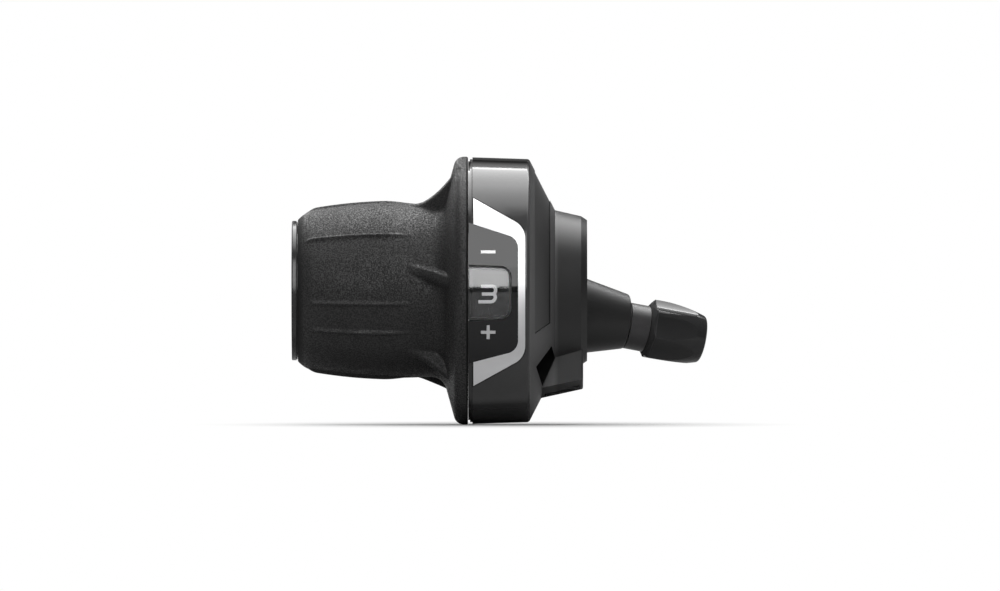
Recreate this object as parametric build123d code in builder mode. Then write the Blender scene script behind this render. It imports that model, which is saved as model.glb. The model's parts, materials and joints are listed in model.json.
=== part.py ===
from build123d import *
import math
import os

# Twist grip shifter for the left end of a bicycle handlebar, sizes in millimetres
# The bar runs along X, the gear display faces -Y and Z is up
# The origin is the middle of the clamp's bore
# Angles round the bar go from +Y through +Z, so 180 is the front and 90 is the top

# Handlebar and clamp
bar_d = 22.2
clamp_gap = 0.05
clamp_len = 10.4
clamp_wall = 3.75
clamp_taper = 1.2
clamp_edge = 1.2
clamp_edge_drop = 0.8
clamp_band_len = 6.4
split_w = 1.6
split_margin = 1.0

# Drum and cone
drum_r = 26.7
drum_len = 11.8
drum_draft = 1.8
drum_wall = 2.1
drum_edge = 0.8
lip_w = 0.5
lip_step = 0.4
cone_len = 5.2
web_t = 0.8
pad_depth = 0.35
pad_rim = 1.2
pad_foot = 1.0
pad_from = 60.0
pad_to = 201.0

# Bar tube, grip core and running clearances
tube_gap = 0.25
tube_wall = 1.0
run_gap = 0.1
core_wall = 1.2
end_play = 0.1
body_gap = 0.3

# Grip
grip_gap = 0.4
grip_len = 33.8
grip_r = 17.25
grip_mid_rise = 0.05
grip_nose_drop = 1.2
grip_end_t = 0.5
grip_nose = 3.4
grip_nose_lean = 1.1
grip_nose_slope = 0.17
grip_mid_x = 14.4
grip_neck_x = 25.9
flange_step = 0.1
flange_foot = 5.0
flange_top = 2.35
flange_blend = 3.2
flange_round = 2.0
flange_lip = 2.4
fin_count = 6
fin_first = 169.0
fin_w = 2.2
fin_reach = 6.6
fin_share = 0.58
fin_dip = 0.45
fin_high = 5
fin_high_share = 0.875
fin_high_dip = 1.7
fin_round = 0.9
fin_end = 0.7
fin_slant = 17.0
rib_w = 1.7
rib_h = 0.35
rib_round = 0.7
rib_sink = 0.2
rib_start = 2.6
rib_end = 23.8
rib_angles = (141.0, 189.0, 209.0)
rib_repeat = 3
core_flange_t = 1.6
core_flange_inset = 0.1

# End ring
ring_t = 1.1
ring_seat = 0.6
ring_h = 1.6
ring_band = 0.9
ring_neck = 0.2
ring_round = 0.25

# Winder, number segment and keys
key_count = 3
key_w = 2.0
key_h = 0.7
shoulder_h = 1.4
shoulder_t = 1.1
plate_t = 1.2
segment_gap = 0.4
segment_t = 1.2
segment_len = 7.2
segment_start_angle = 162.0
segment_sweep_angle = 100.0
hub_h = 2.4
wire_groove = 0.8
pitch_rise = 1.95
flange_h = 1.2
groove_inset = 1.8
spool_w = 3.8
detent_rise = 2.0
detent_w = 4.0
detent_step = 32.0
detent_count = 3
notch_r = 1.1
notch_depth = 0.8
nipple_r = 1.9
nipple_out = 0.3
nipple_depth = 3.2
nipple_angle = 134.0
lug_h = 2.6
lug_arc = 10.0
lug_angle = 250.0
stop_gap = 0.5
stop_arc = 7.0

# Washer and detent spring
washer_t = 0.5
washer_h = 2.4
leaf_t = 0.45
leaf_w = 3.6
leaf_angle = -50.0
leaf_inset = 3.0
leaf_span = 8.2
leaf_bend = 6.2
leaf_nose = 1.4
leaf_nose_h = 1.2
leaf_lift = 0.2
leaf_round = 0.5
post_inset = 0.6
post_end = 0.9
post_lip = 0.9
post_root = 0.5

# Cable guide and port plug
guide_bend = 4.5
guide_t = 2.4
guide_rim = 0.5
guide_gap = 0.4
plug_r = 2.9
plug_head_r = 3.7
plug_head_t = 0.6
plug_angle = 70.0
plug_inset = 3.8
plug_sink = 0.15
plug_stem = 1.0

# Display
panel_t = 0.9
panel_left = 0.2
panel_w = 9.8
panel_top = 13.5
panel_top_drop = 3.15
panel_low = 14.5
panel_low_rise = 2.55
panel_round = 2.6
trim_inset = 0.7
trim_w = 10.3
trim_top = 18.4
trim_top_drop = 5.75
trim_low = 19.0
trim_low_rise = 5.7
trim_round = 3.8
trim_proud = 0.15
trim_gap = 0.15
window_w = 8.5
window_top = 5.1
window_top_drop = 0.3
window_low = 6.0
window_low_rise = 0.5
window_round = 2.2
window_proud = 0.6
window_below = 0.6
window_bevel = 1.2
window_edge = 0.5
window_gap = 0.04

# Clamp boss, screw and nut
boss_half = 9.0
boss_x1 = 4.4
boss_low = 20.55
boss_slope = 0.22
boss_bevel = 2.0
boss_bevel_run = 6.0
boss_round = 0.4
boss_top = 11.5
notch_x = 1.4
notch_z = 15.2
notch_top_x = 0.7
notch_top_z = 11.1
notch_foot_z = 13.5
notch_low_x = 2.65
notch_low_z = 19.0
notch_sink = 2.0
bolt_x = 0.3
bolt_z = -16.2
bolt_r = 2.0
bolt_gap = 0.15
bolt_len = 10.0
head_r = 3.5
head_h = 4.0
head_gap = 0.25
head_seat = 4.2
hex_af = 3.0
hex_depth = 2.0
nut_af = 7.0
nut_t = 2.2
nut_seat = 2.8
nut_gap = 0.05
nut_cover = 0.05

# Cable spout and adjuster
spout_x = 13.1
spout_z = -6.95
tilt_back = 12.7
tilt_down = 10.65
spout_r = 5.5
spout_lift = 0.7
spout_tilt = 7.0
spout_back = 0.3
spout_edge = 0.35
spout_root_h = 10.3
spout_root_d = 8.5
spout_root_drop = 5.5
spout_root_z = -3.5
collar_r = 4.65
collar_len = 3.9
collar_gap = 0.1
knob_gap = 0.15
stem_r = 4.0
stem_len = 5.0
slide_gap = 0.05
stem_wall = 0.6
collar_floor = 1.4
collar_key_w = 1.2
collar_key_h = 0.45
collar_key_len = 1.1
key_gap = 0.1
insert_len = 6.0
insert_floor = 5.5
screw_r = 2.5
screw_gap = 0.05
screw_len = 11.2
bore_r = 1.1
spring_wire = 0.28
spring_r = 3.0
spring_turns = 4
wire_hole_r = 1.5
knob_len = 11.7
knob_back_r = 4.9
knob_max_r = 6.15
knob_back = 0.9
knob_mid_r = 5.9
knob_front_r = 4.65
knob_rim = 0.7
knob_scallops = 7
scallop_r = 9.0
scallop_depth = 0.9
scallop_turn = 11.0
barrel_head_r = 3.5
barrel_step = 1.05
barrel_inset = 0.3
socket_r = 2.55
socket_len = 7.5

# Places along the bar
clamp_x1 = clamp_len / 2
clamp_x0 = -clamp_x1
cone_x1 = clamp_x1 - clamp_band_len
drum_x1 = cone_x1 - cone_len
drum_x0 = drum_x1 - drum_len
web_x = drum_x1 - web_t
grip_x1 = drum_x0 - grip_gap
grip_x0 = grip_x1 - grip_len
ring_x1 = grip_x0 - body_gap
ring_x0 = ring_x1 - ring_t
tube_x0 = ring_x1 - ring_seat

# Radii about the bar
bar_r = bar_d / 2
clamp_r = bar_r + clamp_gap
band_r = clamp_r + clamp_wall
cone_r1 = band_r + clamp_taper
tube_bore_r = bar_r + tube_gap
tube_r = tube_bore_r + tube_wall
ring_r = tube_r + ring_h
core_bore_r = tube_r + run_gap
core_r = core_bore_r + core_wall
cavity_r = drum_r - drum_wall
segment_r = cavity_r - segment_gap
pitch_r = core_r + pitch_rise
spool_r = pitch_r + flange_h
detent_r = pitch_r + detent_rise
leaf_foot_r = cavity_r - leaf_inset
flange_r = drum_r + flange_step
grip_end_r = core_r + grip_end_t
grip_nose_r = grip_r - grip_nose_drop
grip_mid_r = grip_r + grip_mid_rise

# Places inside the drum
washer_x = web_x - washer_t
winder_x1 = washer_x - end_play
groove_x = winder_x1 - groove_inset
detent_x1 = winder_x1 - spool_w
shoulder_x1 = grip_x1 - core_flange_inset + shoulder_t
plate_x1 = shoulder_x1 + plate_t
leaf_x = detent_x1 - detent_w / 2

# Where the wire turns from the winder's groove into the spout
guide_x = groove_x + guide_bend
guide_y = spool_r + guide_gap + guide_t / 2
guide_run = spout_x - guide_x
guide_z = spout_z + guide_run * math.tan(math.radians(tilt_down)) + guide_bend
guide_r = guide_bend + guide_rim
spout_y = guide_y + guide_run * math.tan(math.radians(tilt_back))
spout_root_y = spout_y - spout_root_drop


def drum_r_at(x):
    return drum_r - (x - drum_x0) * math.tan(math.radians(drum_draft))


def axial_plane(angle):
    """Plane through the bar's axis, x along the bar and y outwards at the angle."""
    turn = math.radians(angle)
    return Plane(origin=(0, 0, 0), x_dir=(1, 0, 0), z_dir=(0, -math.sin(turn), math.cos(turn)))


def cross_plane(x, angle):
    """Plane across the bar at x, its y outwards at the angle and its normal towards -X."""
    turn = math.radians(angle)
    return Plane(origin=(x, 0, 0), x_dir=(0, -math.sin(turn), math.cos(turn)), z_dir=(-1, 0, 0))


def radial_plane(x, angle, radius):
    """Plane that faces outwards at the angle, at the radius from the bar's axis."""
    out = (0, math.cos(math.radians(angle)), math.sin(math.radians(angle)))
    return Plane(origin=(x, radius * out[1], radius * out[2]), x_dir=(1, 0, 0), z_dir=out)


# Adjuster frame: z along the screw and outwards, x upwards
adjuster_dir = Vector(1, math.tan(math.radians(tilt_back)), -math.tan(math.radians(tilt_down)))
adjuster_side = Vector(0, 0, 1).cross(adjuster_dir)
adjuster = Plane(
    origin=(spout_x, spout_y, spout_z),
    x_dir=adjuster_dir.cross(adjuster_side),
    z_dir=adjuster_dir,
)

# Mouth of the spout, nearly square to the screw
spout_mouth = Plane(
    origin=adjuster.offset(-spout_back).origin,
    x_dir=adjuster.x_dir,
    z_dir=(1, math.tan(math.radians(tilt_back)), -math.tan(math.radians(spout_tilt))),
)

# Outlines of the display as they face the front
drum_rise = drum_r_at(drum_x1)
panel_x0 = drum_x0 - panel_left
panel_x1 = panel_x0 + panel_w
trim_x0 = drum_x0 + trim_inset
trim_x1 = trim_x0 + trim_w
window_x1 = panel_x0 + window_w

with BuildSketch(Plane.XZ) as panel_outline:
    with BuildLine():
        Polyline(
            (panel_x0, panel_top),
            (panel_x1, panel_top - panel_top_drop),
            (panel_x1, panel_low_rise - panel_low),
            (panel_x0, -panel_low),
            close=True,
        )
    make_face()
    fillet(panel_outline.vertices().sort_by(Axis.X)[-2:], panel_round)

with BuildSketch(Plane.XZ) as trim_outline:
    with BuildLine():
        Polyline(
            (trim_x0, trim_top),
            (trim_x1, trim_top - trim_top_drop),
            (trim_x1, trim_low_rise - trim_low),
            (trim_x0, -trim_low),
            close=True,
        )
    make_face()
    fillet(trim_outline.vertices().sort_by(Axis.X)[-2:], trim_round)

with BuildSketch(Plane.XZ) as trim_seat:
    add(trim_outline.sketch)
    offset(amount=trim_gap)

with BuildSketch(Plane.XZ) as window_outline:
    with BuildLine():
        Polyline(
            (panel_x0, window_top),
            (window_x1, window_top - window_top_drop),
            (window_x1, window_low_rise - window_low),
            (panel_x0, -window_low),
            close=True,
        )
    make_face()
    fillet(window_outline.vertices().sort_by(Axis.X)[-2:], window_round)

with BuildSketch(Plane.XZ) as window_opening:
    add(window_outline.sketch)
    offset(amount=window_gap)


def drum_skin(below, above):
    """Ring that follows the drum's drafted wall, from below its surface to above it."""
    with BuildPart() as skin:
        with BuildSketch(Plane.XZ):
            with BuildLine():
                Polyline(
                    (panel_x0, drum_r_at(panel_x0) - below),
                    (trim_x1, drum_r_at(trim_x1) - below),
                    (trim_x1, drum_r_at(trim_x1) + above),
                    (panel_x0, drum_r_at(panel_x0) + above),
                    close=True,
                )
            make_face()
        revolve(axis=Axis.X)
    return skin.part


# Clamp boss with bevelled lower corners
with BuildPart() as clamp_boss:
    with BuildSketch(Plane.XZ):
        with BuildLine():
            Polyline(
                (drum_x1, -boss_top),
                (boss_x1, -boss_top),
                (boss_x1, -boss_low + boss_slope * (boss_x1 - bolt_x)),
                (drum_x1, -boss_low + boss_slope * (drum_x1 - bolt_x)),
                close=True,
            )
        make_face()
    extrude(amount=boss_half, both=True)
    low_face = clamp_boss.faces().sort_by(Axis.Z)[0]
    low_edges = low_face.edges().group_by(Axis.Y)
    chamfer(low_edges[0] + low_edges[-1], boss_bevel_run, boss_bevel, reference=low_face)
    fillet(clamp_boss.faces().sort_by(Axis.X)[-1].edges(), boss_round)

# Spout for the cable, from an oval root to a round mouth
with BuildPart() as cable_spout:
    with BuildSketch(Plane.YZ.offset(drum_x1)):
        with Locations((spout_root_y, spout_root_z)):
            Ellipse(spout_root_d, spout_root_h)
    with BuildSketch(spout_mouth):
        with Locations((spout_lift, 0)):
            Circle(spout_r)
    loft()
    fillet(cable_spout.faces().sort_by(Axis.X)[-1].edges(), spout_edge)

# Shallow bare pad in the cone
cone_slope = (drum_rise - cone_r1) / cone_len
pad_x0 = drum_x1 + pad_rim
pad_x1 = cone_x1 - pad_foot
with BuildPart() as pad_tool:
    with BuildSketch(axial_plane(pad_from)):
        with BuildLine():
            Polyline(
                (pad_x0, drum_rise - cone_slope * pad_rim - pad_depth),
                (pad_x1, cone_r1 + cone_slope * pad_foot - pad_depth),
                (pad_x1, cone_r1 + cone_slope * pad_foot + pad_depth),
                (pad_x0, drum_rise - cone_slope * pad_rim + pad_depth),
                close=True,
            )
        make_face()
    revolve(axis=Axis.X, revolution_arc=pad_to - pad_from)

# Seats in the drum for the display and the number window
with BuildPart() as display_seat:
    extrude(trim_seat.sketch, amount=2 * drum_r)
    extrude(panel_outline.sketch, amount=2 * drum_r)
    add(drum_skin(panel_t, panel_t), mode=Mode.INTERSECT)
with BuildPart() as window_seat:
    extrude(window_outline.sketch, amount=2 * drum_r)
    split(bisect_by=Plane.XZ.offset(tube_r), keep=Keep.TOP)
    split(bisect_by=Plane.YZ.offset(drum_x0 - panel_left), keep=Keep.TOP)

# Places along the adjuster, from the spout's mouth outwards
insert_x1 = -insert_floor
insert_x0 = insert_x1 - insert_len
collar_x1 = collar_gap + collar_len
knob_x0 = collar_x1 + knob_gap
knob_x1 = knob_x0 + knob_len
insert_r = stem_r
adjuster_axis = Axis(adjuster.origin, adjuster.z_dir)
adjuster_cut = Plane(origin=adjuster.origin, x_dir=adjuster.z_dir, z_dir=adjuster.y_dir)
wire_run = (spout_x - web_x + wire_hole_r) / adjuster.z_dir.X

# Ends of the detent spring and the posts that hold them
leaf_tip = detent_r - notch_depth + leaf_lift + leaf_t / 2
post_top = math.sqrt(cavity_r**2 - leaf_bend**2) + post_root
plug_x = drum_x1 - plug_inset
plug_seat = drum_r_at(plug_x) - plug_sink - plug_head_t
lug_r = spool_r + lug_h
stop_turn = lug_arc / 2 + stop_gap
twist = detent_step * (detent_count - 1)

# Main body: drum, cone, clamp, bar tube and cable spout in one moulding
with BuildPart() as main_body:
    with BuildSketch(Plane.XZ) as drum_profile:
        with BuildLine():
            Polyline(
                (drum_x0, 0),
                (drum_x0, drum_r - lip_step),
                (drum_x0 + lip_w, drum_r - lip_step),
                (drum_x0 + lip_w, drum_r_at(drum_x0 + lip_w)),
                (drum_x1, drum_rise),
                (cone_x1, cone_r1),
                (cone_x1, 0),
                close=True,
            )
        make_face()
        fillet(drum_profile.vertices().sort_by_distance((drum_x1, drum_rise))[0], drum_edge)
    revolve(axis=Axis.X)
    add(pad_tool.part, mode=Mode.SUBTRACT)
    with BuildSketch(Plane.XZ):
        with BuildLine():
            Polyline(
                (drum_x1, 0),
                (drum_x1, cone_r1),
                (cone_x1, cone_r1),
                (clamp_x1 - clamp_edge, band_r),
                (clamp_x1, band_r - clamp_edge_drop),
                (clamp_x1, 0),
                close=True,
            )
        make_face()
    revolve(axis=Axis.X)
    add(clamp_boss.part)
    add(cable_spout.part)
    # Notch in the cone beside the boss
    with BuildSketch(Plane.XZ.offset(boss_half - notch_sink)):
        with BuildLine():
            Polyline(
                (drum_x1 + notch_x, -notch_z),
                (cone_x1 - notch_top_x, -notch_top_z),
                (cone_x1, -notch_foot_z),
                (drum_x1 + notch_low_x, -notch_low_z),
                close=True,
            )
        make_face()
    extrude(amount=drum_r, mode=Mode.SUBTRACT)
    # Drum cavity and bar tube
    with BuildSketch(Plane.YZ.offset(web_x)):
        Circle(cavity_r)
    extrude(amount=drum_x0 - web_x - lip_w, mode=Mode.SUBTRACT)
    with BuildSketch(Plane.YZ.offset(tube_x0)):
        Circle(tube_r)
    extrude(amount=web_x - tube_x0)
    # Bores for the handlebar
    with BuildSketch(Plane.YZ.offset(clamp_x0)):
        Circle(clamp_r)
    extrude(amount=drum_r, mode=Mode.SUBTRACT)
    with BuildSketch(Plane.YZ.offset(clamp_x0)):
        Circle(tube_bore_r)
    extrude(amount=tube_x0 - clamp_x0 - lip_w, mode=Mode.SUBTRACT)
    # Split, screw hole, screw seat and nut slot of the clamp
    with BuildSketch(Plane.XY.offset(-boss_low - boss_bevel)):
        with Locations((clamp_x0 + split_margin, 0)):
            Rectangle(2 * clamp_len, split_w, align=(Align.MIN, Align.CENTER))
    extrude(amount=boss_low + boss_bevel, mode=Mode.SUBTRACT)
    with BuildSketch(Plane.XZ.offset(bolt_len - head_seat + bolt_gap)):
        with Locations((bolt_x, bolt_z)):
            Circle(bolt_r + bolt_gap)
    extrude(amount=-bolt_len - bolt_gap, mode=Mode.SUBTRACT)
    with BuildSketch(Plane.XZ.offset(-head_seat)):
        with Locations((bolt_x, bolt_z)):
            Circle(head_r + head_gap)
    extrude(amount=-2 * drum_r, mode=Mode.SUBTRACT)
    with BuildSketch(Plane.XY.offset(bolt_z + nut_af / 2 + nut_cover)):
        with Locations((bolt_x, -nut_seat)):
            Rectangle(nut_af + 2 * nut_gap, nut_t, align=(Align.CENTER, Align.MAX))
    extrude(amount=-2 * nut_af, mode=Mode.SUBTRACT)
    # Seats for the display, the wire guide and the port plug
    add(display_seat.part, mode=Mode.SUBTRACT)
    add(window_seat.part, mode=Mode.SUBTRACT)
    with BuildSketch(Plane.XZ.offset(-guide_y - guide_t / 2)):
        with Locations((web_x, guide_z)):
            Rectangle(guide_x - web_x, guide_r, align=(Align.MIN, Align.MAX))
    extrude(amount=guide_t, mode=Mode.SUBTRACT)
    with BuildSketch(radial_plane(plug_x, plug_angle, plug_seat)):
        Circle(plug_head_r)
    extrude(amount=drum_wall, mode=Mode.SUBTRACT)
    with BuildSketch(radial_plane(plug_x, plug_angle, plug_seat)):
        Circle(plug_r)
    extrude(amount=-2 * drum_wall, mode=Mode.SUBTRACT)
    # Bores of the adjuster: collar, its key, thread insert and wire
    with BuildSketch(adjuster.offset(insert_x0)):
        Circle(insert_r)
    extrude(amount=insert_len, mode=Mode.SUBTRACT)
    with BuildSketch(adjuster.offset(insert_x1)):
        Circle(stem_r + slide_gap)
        Rectangle(
            stem_r + collar_key_h + key_gap,
            collar_key_w + 2 * key_gap,
            align=(Align.MIN, Align.CENTER),
        )
    extrude(amount=insert_floor + spout_r, mode=Mode.SUBTRACT)
    with BuildSketch(adjuster.offset(insert_x0)):
        Circle(wire_hole_r)
    extrude(amount=-wire_run - insert_x0, mode=Mode.SUBTRACT)
    # Posts for the detent spring
    with BuildSketch(cross_plane(leaf_x + leaf_w / 2, leaf_angle)):
        with Locations((leaf_bend + post_inset, leaf_foot_r - post_lip)):
            Rectangle(
                leaf_span - leaf_bend - post_inset + post_end,
                post_top - leaf_foot_r + post_lip,
                align=(Align.MIN, Align.MIN),
            )
        with Locations((-leaf_bend - post_inset, leaf_foot_r - post_lip)):
            Rectangle(
                leaf_span - leaf_bend - post_inset + post_end,
                post_top - leaf_foot_r + post_lip,
                align=(Align.MAX, Align.MIN),
            )
        with Locations((0, leaf_foot_r)):
            Rectangle(2 * leaf_span, leaf_t, mode=Mode.SUBTRACT)
    extrude(amount=leaf_w)
    # Stops for the winder's lug
    for stop_from in (lug_angle + stop_turn, lug_angle - twist - stop_turn - stop_arc):
        with BuildSketch(axial_plane(stop_from)):
            with Locations((web_x, spool_r + body_gap)):
                Rectangle(spool_w, lug_h, align=(Align.MAX, Align.MIN))
        revolve(axis=Axis.X, revolution_arc=stop_arc)

# End ring: snapped over the end of the bar tube
with BuildPart() as end_ring:
    with BuildSketch(Plane.XZ) as ring_profile:
        with BuildLine():
            Polyline(
                (ring_x0, tube_bore_r),
                (ring_x0, ring_r),
                (ring_x0 + ring_band, ring_r),
                (ring_x0 + ring_band, ring_r - ring_neck),
                (ring_x1, ring_r - ring_neck),
                (ring_x1, tube_r),
                (tube_x0, tube_r),
                (tube_x0, tube_bore_r),
                close=True,
            )
        make_face()
        fillet(ring_profile.vertices().sort_by_distance((ring_x0, ring_r))[0], ring_round)
    revolve(axis=Axis.X)

# Display panel with its opening for the window
with BuildPart() as display_panel:
    extrude(panel_outline.sketch, amount=2 * drum_r)
    extrude(window_opening.sketch, amount=2 * drum_r, mode=Mode.SUBTRACT)
    add(drum_skin(panel_t, 0), mode=Mode.INTERSECT)

# Display trim round the panel
with BuildPart() as display_trim:
    extrude(trim_outline.sketch, amount=2 * drum_r)
    extrude(panel_outline.sketch, amount=2 * drum_r, mode=Mode.SUBTRACT)
    add(drum_skin(panel_t, trim_proud), mode=Mode.INTERSECT)

# Raised window with bevelled edges
with BuildPart() as display_window:
    extrude(window_outline.sketch, amount=2 * drum_r)
    add(drum_skin(panel_t + window_below, window_proud), mode=Mode.INTERSECT)
    front_face = display_window.faces().sort_by(Axis.Y)[0]
    long_edges = front_face.edges().group_by(Axis.Z)
    chamfer(long_edges[0] + long_edges[-1], window_edge, window_bevel)

# Clamp screw with hexagon socket
with BuildPart() as clamp_bolt:
    with BuildSketch(Plane.XZ.offset(-head_seat)):
        with Locations((bolt_x, bolt_z)):
            Circle(bolt_r)
    extrude(amount=bolt_len)
    with BuildSketch(Plane.XZ.offset(-head_seat)):
        with Locations((bolt_x, bolt_z)):
            Circle(head_r)
    extrude(amount=-head_h)
    with BuildSketch(Plane.XZ.offset(-head_seat - head_h)):
        with Locations((bolt_x, bolt_z)):
            RegularPolygon(hex_af / 2, 6, major_radius=False)
    extrude(amount=hex_depth, mode=Mode.SUBTRACT)

# Square nut of the clamp screw
with BuildPart() as clamp_nut:
    with BuildSketch(Plane.XZ.offset(nut_seat)):
        with Locations((bolt_x, bolt_z)):
            Rectangle(nut_af, nut_af)
            Circle(bolt_r, mode=Mode.SUBTRACT)
    extrude(amount=nut_t)

# Leaf spring of the detent
with BuildPart() as detent_spring:
    with BuildSketch(cross_plane(leaf_x + leaf_w / 2, leaf_angle)):
        with BuildLine() as leaf_line:
            FilletPolyline(
                (-leaf_span, leaf_foot_r),
                (-leaf_bend, leaf_foot_r),
                (-leaf_nose, leaf_tip + leaf_nose_h),
                (0, leaf_tip),
                (leaf_nose, leaf_tip + leaf_nose_h),
                (leaf_bend, leaf_foot_r),
                (leaf_span, leaf_foot_r),
                radius=leaf_round,
            )
        trace(line_width=leaf_t)
    extrude(amount=leaf_w)

# Grooved saddle that turns the wire
with BuildPart() as cable_guide:
    with BuildSketch(Plane.XZ.offset(-guide_y - guide_t / 2)):
        with Locations((guide_x, guide_z)):
            Circle(guide_r)
            Rectangle(guide_r, guide_r, align=(Align.MAX, Align.MAX), mode=Mode.INTERSECT)
            Rectangle(guide_x - web_x, guide_r, align=(Align.MAX, Align.MAX))
    extrude(amount=guide_t)
    with Locations((guide_x, guide_y, guide_z)):
        Torus(guide_bend, wire_groove, rotation=(90, 0, 0), mode=Mode.SUBTRACT)

# Plug over the hole for changing the wire
with BuildPart() as port_plug:
    with BuildSketch(radial_plane(plug_x, plug_angle, plug_seat)):
        Circle(plug_head_r)
    extrude(amount=plug_head_t)
    with BuildSketch(radial_plane(plug_x, plug_angle, plug_seat)):
        Circle(plug_r)
    extrude(amount=-plug_stem)

# Thrust washer on the bar tube
with BuildPart() as thrust_washer:
    with BuildSketch(Plane.YZ.offset(washer_x)):
        Circle(tube_r + washer_h)
        Circle(tube_r, mode=Mode.SUBTRACT)
    extrude(amount=washer_t)

# Brass insert for the adjuster's thread
with BuildPart() as thread_insert:
    with BuildSketch(adjuster.offset(insert_x0)):
        Circle(insert_r)
        Circle(screw_r + screw_gap, mode=Mode.SUBTRACT)
    extrude(amount=insert_len)

# Coil spring between the insert and the click collar
spring_x0 = insert_x1 + spring_wire
spring_len = collar_x1 - collar_floor - spring_wire - spring_x0
with BuildPart() as adjuster_spring:
    with BuildLine() as coil:
        Helix(
            spring_len / spring_turns,
            spring_len,
            spring_r,
            center=adjuster.offset(spring_x0).origin,
            direction=adjuster.z_dir,
        )
    with BuildSketch(Plane(origin=coil.line @ 0, z_dir=coil.line % 0)):
        Circle(spring_wire)
    sweep(path=coil.line, is_frenet=True)

# Fins of the grip, slanted webs between its neck and its flange, and the higher one near the top
core_flange_r = flange_r - flange_lip
core_flange_x0 = grip_x1 - core_flange_inset - core_flange_t
fin_x = grip_x1 - flange_foot
fin_top = core_flange_x0 - fin_end - fin_x
fin_turn = math.radians(fin_slant)
fins = []
for share, dip in ((fin_share, fin_dip), (fin_high_share, fin_high_dip)):
    fin_rise = share * (flange_r - grip_r)
    with BuildPart() as grip_fin:
        with BuildSketch(
            Plane(
                origin=(fin_x, -grip_r, 0),
                x_dir=(math.cos(fin_turn), 0, -math.sin(fin_turn)),
                z_dir=(-math.sin(fin_turn), 0, -math.cos(fin_turn)),
            )
        ):
            with BuildLine():
                Polyline(
                    (fin_top, fin_rise),
                    (fin_top, -core_wall),
                    (-fin_reach, -core_wall),
                    (-fin_reach, 0),
                )
                ThreePointArc(
                    (-fin_reach, 0),
                    ((fin_top - fin_reach) / 2, fin_rise / 2 - dip),
                    (fin_top, fin_rise),
                )
            make_face()
        extrude(amount=fin_w / 2, both=True)
        fillet(grip_fin.edges().filter_by(GeomType.CIRCLE), fin_round)
    fins.append(grip_fin.part)
plain_fin, high_fin = fins

# Rib of the grip, a low web that sinks into the barrel at its ends
with BuildPart() as grip_rib:
    with BuildSketch(axial_plane(180)):
        with BuildLine():
            ThreePointArc(
                (grip_x0 + rib_start, grip_nose_r - rib_sink),
                (grip_x0 + grip_mid_x, grip_mid_r + rib_h),
                (grip_x0 + rib_end, grip_r - rib_sink),
            )
            Polyline(
                (grip_x0 + rib_end, grip_r - rib_sink),
                (grip_x0 + rib_end, grip_nose_r - 2 * rib_sink),
                (grip_x0 + rib_start, grip_nose_r - 2 * rib_sink),
                (grip_x0 + rib_start, grip_nose_r - rib_sink),
            )
        make_face()
    extrude(amount=rib_w / 2, both=True)
    fillet(grip_rib.edges().filter_by(GeomType.CIRCLE), rib_round)

# Rubber grip: barrel, flange, fins and ribs
neck_x = grip_x0 + grip_neck_x
with BuildPart() as rubber_grip:
    with BuildSketch(Plane.XZ) as grip_profile:
        with BuildLine():
            Line((grip_x0, core_r), (grip_x0, grip_end_r))
            Spline(
                (grip_x0, grip_end_r),
                (grip_x0 + grip_nose, grip_nose_r),
                tangents=((1, grip_nose_lean), (1, grip_nose_slope)),
            )
            ThreePointArc(
                (grip_x0 + grip_nose, grip_nose_r),
                (grip_x0 + grip_mid_x, grip_mid_r),
                (neck_x, grip_r),
            )
            Polyline(
                (neck_x, grip_r),
                (grip_x1 - flange_foot, grip_r),
                (grip_x1 - flange_top, flange_r),
                (grip_x1, flange_r),
                (grip_x1, core_flange_r),
                (core_flange_x0, core_flange_r),
                (core_flange_x0, core_r),
                (grip_x0, core_r),
            )
        make_face()
        foot = grip_profile.vertices().sort_by_distance((grip_x1 - flange_foot, grip_r))[0]
        fillet(foot, flange_blend)
        rim = grip_profile.vertices().sort_by_distance((grip_x1 - flange_top, flange_r))[0]
        fillet(rim, flange_round)
    revolve(axis=Axis.X)
    for fin in range(fin_count):
        web = high_fin if fin == fin_high else plain_fin
        add(web.rotate(Axis.X, fin_first - 180 + fin * 360 / fin_count))
    for turn in range(rib_repeat):
        for rib_angle in rib_angles:
            add(grip_rib.part.rotate(Axis.X, rib_angle - 180 + turn * 360 / rib_repeat))

# Grip core: tube, flange, shoulder and keys
with BuildPart() as grip_core:
    with BuildSketch(Plane.XZ):
        with BuildLine():
            Polyline(
                (grip_x0, core_bore_r),
                (grip_x0, core_r),
                (core_flange_x0, core_r),
                (core_flange_x0, core_flange_r),
                (grip_x1 - core_flange_inset, core_flange_r),
                (grip_x1 - core_flange_inset, core_r + shoulder_h),
                (shoulder_x1, core_r + shoulder_h),
                (shoulder_x1, core_r),
                (winder_x1, core_r),
                (winder_x1, core_bore_r),
                close=True,
            )
        make_face()
    revolve(axis=Axis.X)
    for key in range(key_count):
        with BuildSketch(radial_plane(shoulder_x1, key * 360 / key_count, core_r - core_wall / 2)):
            Rectangle(winder_x1 - shoulder_x1, key_w, align=(Align.MIN, Align.CENTER))
        extrude(amount=core_wall / 2 + key_h)

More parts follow.
